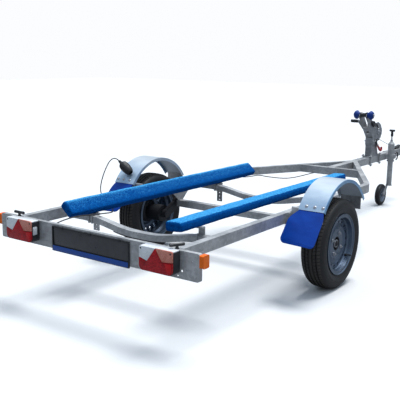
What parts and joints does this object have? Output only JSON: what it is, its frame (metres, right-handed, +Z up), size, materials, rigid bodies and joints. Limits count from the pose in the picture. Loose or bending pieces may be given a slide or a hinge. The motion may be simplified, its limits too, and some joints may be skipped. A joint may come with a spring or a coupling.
{
  "type": "boat trailer",
  "caption": "Single-axle galvanised boat trailer with carpeted bunks, winch stand, jockey wheel and a rear light board.",
  "frame": {"origin": "on the ground, midway between the trailer's ends and sides", "axes": "+Y towards the coupling, +X to the trailer's right, +Z up"},
  "size_m": [1.6174, 4.43, 0.912],
  "materials": {
    "amber_lens": "amber lens",
    "arm_iron": "dark paint",
    "black_plastic": "black moulded plastic",
    "black_rubber": "black rubber",
    "blue_rubber": "dark blue rubber",
    "bunk_carpet": "blue needle carpet",
    "flap_plastic": "dark blue moulded plastic",
    "galvanised": "hot-dip galvanised, soft mottled grey",
    "hub_iron": "dark cast iron",
    "lamp_lens": "red lens",
    "red_hook": "red painted hook",
    "rim_paint": "silver grey wheel paint",
    "tyre": "matt black rubber",
    "webbing": "black webbing",
    "zinc_steel": "bright zinc plated"
  },
  "bodies": {
    "frame": {"axle_beam": "galvanised", "board_knob_left": "black_plastic", "board_knob_right": "black_plastic", "bunk_left": "bunk_carpet", "bunk_post_front_left": "galvanised", "bunk_post_front_right": "galvanised", "bunk_post_rear_left": "galvanised", "bunk_post_rear_right": "galvanised", "bunk_right": "bunk_carpet", "coupling_handle": "black_plastic", "coupling_head": "zinc_steel", "cross_member_front": "galvanised", "cross_member_rear": "galvanised", "drawbar": "galvanised", "flap_left": "flap_plastic", "flap_right": "flap_plastic", "front_tie": "galvanised", "guard_bracket_front_left": "galvanised", "guard_bracket_front_right": "galvanised", "guard_bracket_rear_left": "galvanised", "guard_bracket_rear_right": "galvanised", "jockey_clamp": "zinc_steel", "jockey_handle": "black_plastic", "jockey_tube": "zinc_steel", "lamp_body_left": "black_plastic", "lamp_body_right": "black_plastic", "lamp_lens_left": "lamp_lens", "lamp_lens_right": "lamp_lens", "light_board": "galvanised", "light_cable": "black_rubber", "light_plug": "black_plastic", "loom_cable": "black_rubber", "mudguard_left": "galvanised", "mudguard_right": "galvanised", "plate_holder": "black_plastic", "rail_left": "galvanised", "rail_right": "galvanised", "side_marker_left": "amber_lens", "side_marker_right": "amber_lens", "stand_head": "galvanised", "strap_hook": "red_hook", "trailing_arm_left": "arm_iron", "trailing_arm_right": "arm_iron", "winch_frame": "zinc_steel", "winch_post": "galvanised"},
    "wheel_left": {"tyre_left": "tyre", "rim_left": "rim_paint", "hub_left": "hub_iron"},
    "wheel_right": {"tyre_right": "tyre", "rim_right": "rim_paint", "hub_right": "hub_iron"},
    "jockey_leg": {"jockey_stem": "zinc_steel"},
    "jockey_caster": {"jockey_fork": "zinc_steel"},
    "jockey_roller": {"jockey_wheel": "black_rubber"},
    "winch_reel": {"winch_crank": "zinc_steel", "winch_drum": "zinc_steel", "winch_strap": "webbing"},
    "bow_stop_roller": {"bow_roller": "black_rubber"},
    "bow_stop_cone_left": {"bow_cone_left": "blue_rubber"},
    "bow_stop_cone_right": {"bow_cone_right": "blue_rubber"}
  },
  "joints": [
    {"name": "wheel_left_spin", "type": "hinge", "parent": "frame", "child": "wheel_left", "pos_m": [-0.703, -0.83707, 0.2735], "axis": [1, 0, 0], "continuous": true},
    {"name": "wheel_right_spin", "type": "hinge", "parent": "frame", "child": "wheel_right", "pos_m": [0.703, -0.83707, 0.2735], "axis": [1, 0, 0], "continuous": true},
    {"name": "jockey_wind", "type": "slide", "parent": "frame", "child": "jockey_leg", "axis": [0, 0, 1], "range_m": [-0.03, 0.09]},
    {"name": "jockey_swivel", "type": "hinge", "parent": "jockey_leg", "child": "jockey_caster", "pos_m": [0.073, 1.765, 0.19], "axis": [0, 0, 1], "continuous": true},
    {"name": "jockey_wheel_spin", "type": "hinge", "parent": "jockey_caster", "child": "jockey_roller", "pos_m": [0.023, 1.699, 0.1], "axis": [1, 0, 0], "continuous": true},
    {"name": "winch_turn", "type": "hinge", "parent": "frame", "child": "winch_reel", "pos_m": [0, 1.505, 0.715], "axis": [1, 0, 0], "continuous": true},
    {"name": "bow_roller_spin", "type": "hinge", "parent": "frame", "child": "bow_stop_roller", "pos_m": [0, 1.245, 0.876], "axis": [1, 0, 0], "continuous": true},
    {"name": "bow_cone_left_spin", "type": "hinge", "parent": "frame", "child": "bow_stop_cone_left", "pos_m": [-0.06, 1.245, 0.876], "axis": [1, 0, 0], "continuous": true},
    {"name": "bow_cone_right_spin", "type": "hinge", "parent": "frame", "child": "bow_stop_cone_right", "pos_m": [0.06, 1.245, 0.876], "axis": [1, 0, 0], "continuous": true}
  ]
}
